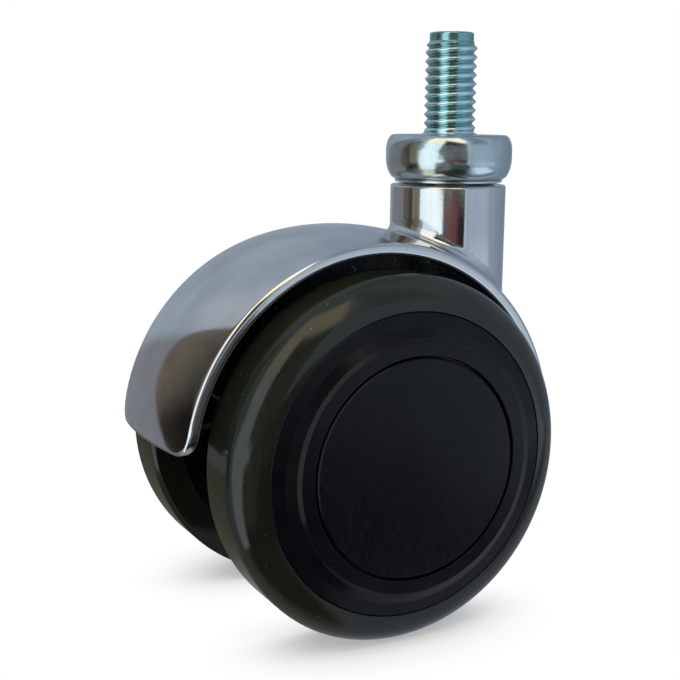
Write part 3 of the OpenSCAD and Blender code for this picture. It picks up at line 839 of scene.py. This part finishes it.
def board_material():
    """A dark, cloudy board."""
    s = Shader("low_board")
    cloud = s.add("ShaderNodeTexNoise", {"Vector": s.coords(), "Scale": 30.0}).outputs["Fac"]
    return glow(s, s.blend(cloud, (0.035, 0.037, 0.036), (0.13, 0.132, 0.13)))


def flat_piece(name, corners):
    """One face through the corners."""
    return add_mesh(name, corners, [list(range(len(corners)))])


mat = flat_piece("floor_mat", [(x, y, FLOOR_Z + MAT_LIFT) for x, y in MAT_OUTLINE])
board = flat_piece("low_board", [(x, BOARD_Y, z) for x, z in BOARD_CORNERS])
for piece, material in ((mat, mat_material()), (board, board_material())):
    piece.data.materials.append(material)
    hide(piece, diffuse=True)


# The tent's angles are in degrees: turn is 0 towards -Y and grows towards +X, behind is 0 towards +Y and
# grows towards +X, and rise is 0 level with the tent's middle
TENT_MIDDLE, TENT_R = (-0.015, 0, -0.035), 0.9
CLOTH_LOW, CLOTH_HIGH = (0.345, 0.405, 0.48), (0.405, 0.47, 0.555)
# Patches of the cloth: an angle's name, its range and softness, those of the rise, and the colour
PATCHES = [
    ("turn", (4, 54, 20), None, (0.47, 0.57, 0.69)),
    ("turn", (84, 150, 26), None, (0.24, 0.305, 0.39)),
    ("turn", (14, 60, 6), (-13, -5, 0.5), (0.60, 0.69, 0.79)),
    ("turn", (14, 48, 8), (26, 82, 7), (0.27, 0.33, 0.4)),
    ("behind", (-46, -18, 8), (26, 60, 8), (0.49, 0.535, 0.595)),
    ("behind", (-2, 26, 8), (-6, 24, 8), (0.32, 0.375, 0.445)),
]
DULL_CLOTH = (0.25, 0.26, 0.285)
WINDOW_WHITE, WINDOW_WARM = (1.28, 1.42, 1.47), (1.75, 1.5, 1.05)
FLAG_DARK, FLAG_GREY, FLAG_PALE = (0.03, 0.031, 0.028), (0.12, 0.125, 0.122), (0.23, 0.238, 0.242)
STRIPE_LEFT, STRIPE_RED, STRIPE_DARK = (0.15, 0.098, 0.098), (0.19, 0.067, 0.06), (0.02, 0.013, 0.015)


def tent_material():
    """Cloth round the object, with a tall window on the left and a dark flag in front of it."""
    s = Shader("studio_tent")
    place = s.add("ShaderNodeNewGeometry").outputs["Position"]
    offset = s.add("ShaderNodeVectorMath", {0: place, 1: TENT_MIDDLE}, operation="SUBTRACT").outputs[0]
    unit = s.add("ShaderNodeVectorMath", {0: offset}, operation="NORMALIZE").outputs[0]
    axes = s.add("ShaderNodeSeparateXYZ", {0: unit}).outputs
    forward = s.math("MULTIPLY", axes["Y"], -1.0)

    def degrees(angle):
        return s.math("MULTIPLY", angle, 180 / math.pi)

    def window(value, low, high, soft):
        """1 between low and high, with soft edges."""
        start = s.ramp(value, low - soft, low + soft)
        end = s.ramp(value, high - soft, high + soft, 1.0, 0.0)
        return s.math("MULTIPLY", start, end)

    def line(value, slope, start):
        return s.math("ADD", s.math("MULTIPLY", value, slope), start)

    turn = degrees(s.math("ARCTAN2", axes["X"], forward))
    behind = degrees(s.math("ARCTAN2", axes["X"], axes["Y"]))
    rise = degrees(s.math("ARCSINE", axes["Z"]))
    angles = {"turn": turn, "behind": behind}

    colour = s.blend(s.ramp(rise, -60, 70), CLOTH_LOW, CLOTH_HIGH)
    for angle, across, upward, patch in PATCHES:
        share = window(angles[angle], *across)
        if upward:
            share = s.math("MULTIPLY", share, window(rise, *upward))
        colour = s.blend(share, colour, patch)
    # Behind, a duller cloth under a sloping edge
    low = s.ramp(s.math("ADD", rise, line(behind, 0.8, 4.0)), -3, 3, 1.0, 0.0)
    colour = s.blend(s.math("MULTIPLY", low, window(behind, -75, 12, 6)), colour, DULL_CLOTH)
    # The window, warmer at its top
    far_edge = s.math("SUBTRACT", turn, s.ramp(rise, -4, 16, -89.0, -79.0))
    tall = s.math("MULTIPLY", s.ramp(far_edge, -3, 3), s.ramp(turn, 1, 7, 1.0, 0.0))
    tall = s.math("MULTIPLY", tall, window(rise, -75, 72, 5))
    colour = s.blend(tall, colour, s.blend(s.ramp(rise, 24, 48), WINDOW_WHITE, WINDOW_WARM))
    # The flag, with a notch in its sloping left edge, a sloping top and a dull red stripe
    notch = s.math("MULTIPLY", window(rise, -8.5, -1.2, 1.2), 12.0)
    left = s.math("SUBTRACT", turn, s.math("ADD", line(rise, 0.3, -52.0), notch))
    top = s.math("SUBTRACT", rise, line(turn, -0.45, 33.0))
    flag = s.math("MULTIPLY", s.ramp(left, -2.5, 2.5), s.ramp(turn, 0.5, 5.5, 1.0, 0.0))
    flag = s.math("MULTIPLY", flag, s.ramp(top, -4, 4, 1.0, 0.0))
    stripe = s.blend(s.ramp(turn, -38, -20), STRIPE_LEFT, STRIPE_RED)
    stripe = s.blend(s.ramp(turn, -18, -5), stripe, STRIPE_DARK)
    mottle = s.add("ShaderNodeTexNoise", {"Vector": unit, "Scale": 6.0, "Detail": 2.0}).outputs["Fac"]
    grey = s.blend(s.ramp(mottle, 0.35, 0.65), FLAG_GREY, FLAG_PALE)
    grey = s.blend(window(rise, -34, 24, 3), FLAG_DARK, grey)
    colour = s.blend(flag, colour, s.blend(window(rise, -7.5, -2.3, 0.5), grey, stripe))
    cloud = s.add("ShaderNodeTexNoise", {"Vector": unit, "Scale": 5.0, "Detail": 4.0}).outputs["Fac"]
    return glow(s, colour, s.ramp(cloud, 0.25, 0.75, 0.93, 1.07))


bpy.ops.mesh.primitive_uv_sphere_add(segments=48, ring_count=24, radius=TENT_R, location=TENT_MIDDLE)
tent = bpy.context.object
tent.name = "studio_tent"
tent.data.materials.append(tent_material())
hide(tent, diffuse=False)

# The card stands from CARD_FAR to CARD_NEAR; its outline is in shares of that run and heights
CARD_FAR, CARD_NEAR = np.array([-88.0, 61.0]), np.array([-145.0, -12.0])
CARD_OUTLINE = [(0.9, -84), (0.9, 115), (0.7, 88), (0.45, 60), (0.25, 36), (0.1, 12), (0, -3), (-0.05, -15),
                (-0.03, -27), (0, -35), (0.05, -42), (0.15, -51), (0.25, -61), (0.4, -69), (0.6, -77),
                (0.75, -84)]


def card_material():
    """A mottled brown card, darker away from its far end and at its foot, with a lighter front."""
    s = Shader("brown_card")
    run = CARD_NEAR - CARD_FAR
    place = s.add("ShaderNodeNewGeometry").outputs["Position"]
    scale = run / (run @ run) / MM
    along = s.add("ShaderNodeVectorMath", {0: place, 1: (scale[0], scale[1], 0)}, operation="DOT_PRODUCT")
    along = s.math("SUBTRACT", along.outputs["Value"], float(CARD_FAR @ run / (run @ run)))
    high = s.math("DIVIDE", s.add("ShaderNodeSeparateXYZ", {0: place}).outputs["Z"], MM)
    colour = s.blend(s.ramp(along, 0.05, 0.4), (0.176, 0.148, 0.122), (0.078, 0.071, 0.058))
    cloud = s.add("ShaderNodeTexNoise", {"Vector": place, "Scale": 55.0, "Detail": 4.0}).outputs["Fac"]
    foot = s.math("SUBTRACT", high, s.math("MULTIPLY", s.math("SUBTRACT", along, 0.25), 90.0))
    level = s.math("MULTIPLY", s.ramp(foot, -56, -22, 0.26, 1.0), s.ramp(cloud, 0.25, 0.75, 0.75, 1.2))
    colour = s.blend(level, (0, 0, 0), colour)
    front = s.blend(s.ramp(cloud, 0.35, 0.65), (0.19, 0.165, 0.125), (0.28, 0.25, 0.19))
    lit = s.math("MULTIPLY", s.ramp(along, 0.40, 0.47), s.ramp(high, -34, -28))
    return glow(s, s.blend(lit, colour, front))


card_corners = [(*(CARD_FAR + share * (CARD_NEAR - CARD_FAR)), z) for share, z in CARD_OUTLINE]
card = flat_piece("brown_card", card_corners)
card.data.materials.append(card_material())
hide(card, diffuse=True)

# The world is white where it is seen, and lights the object at WORLD_LEVEL
WORLD_LEVEL = 0.5
world = bpy.data.worlds.new("studio")
bpy.context.scene.world = world
world.use_nodes = True
tree = world.node_tree
background = tree.nodes["Background"]
path = tree.nodes.new("ShaderNodeLightPath")
first, second = tree.nodes.new("ShaderNodeMath"), tree.nodes.new("ShaderNodeMath")
first.operation = second.operation = "MAXIMUM"
tree.links.new(path.outputs["Is Camera Ray"], first.inputs[0])
tree.links.new(path.outputs["Is Glossy Ray"], first.inputs[1])
tree.links.new(first.outputs[0], second.inputs[0])
tree.links.new(path.outputs["Is Transmission Ray"], second.inputs[1])
level = tree.nodes.new("ShaderNodeMapRange")
level.inputs["To Min"].default_value = WORLD_LEVEL
tree.links.new(second.outputs[0], level.inputs["Value"])
tree.links.new(level.outputs[0], background.inputs["Strength"])
background.inputs["Color"].default_value = (1, 1, 1, 1)

# One soft box overhead, in metres and watts
LAMP_AT, LAMP_TARGET = Vector((-0.05, -0.08, 0.5)), Vector((-0.02, 0, -0.05))
LAMP_SIZE, LAMP_POWER = 0.45, 1.7
lamp_data = bpy.data.lights.new("top_softbox", "AREA")
lamp_data.shape, lamp_data.size, lamp_data.energy = "DISK", LAMP_SIZE, LAMP_POWER
lamp = bpy.data.objects.new("top_softbox", lamp_data)
lamp.location = LAMP_AT
lamp.rotation_euler = (LAMP_TARGET - LAMP_AT).to_track_quat("-Z", "Y").to_euler()
lamp.visible_glossy = False
bpy.context.scene.collection.objects.link(lamp)

# Camera, at the photograph's place

AZIMUTH, ELEVATION, ROLL = math.radians(-28.44), math.radians(10.8), math.radians(0.58)
CAMERA_AT, LENS, SENSOR, CLIP_START = (-0.12291, -0.18512, 0.00315), 62.09, 36, 0.01
camera_data = bpy.data.cameras.new("camera")
camera_data.lens, camera_data.sensor_width, camera_data.sensor_fit = LENS, SENSOR, "HORIZONTAL"
camera_data.clip_start = CLIP_START
camera = bpy.data.objects.new("camera", camera_data)
bpy.context.scene.collection.objects.link(camera)
level_reach = math.cos(ELEVATION)
back = Vector((math.sin(AZIMUTH) * level_reach, -math.cos(AZIMUTH) * level_reach, math.sin(ELEVATION)))
right = Vector((0, 0, 1)).cross(back).normalized()
up = back.cross(right)
right, up = (right * math.cos(ROLL) + up * math.sin(ROLL), up * math.cos(ROLL) - right * math.sin(ROLL))
turned = Matrix((right, up, back)).transposed().to_4x4()
camera.matrix_world = Matrix.Translation(CAMERA_AT) @ turned
bpy.context.scene.camera = camera
bpy.context.scene.view_settings.view_transform = "Standard"
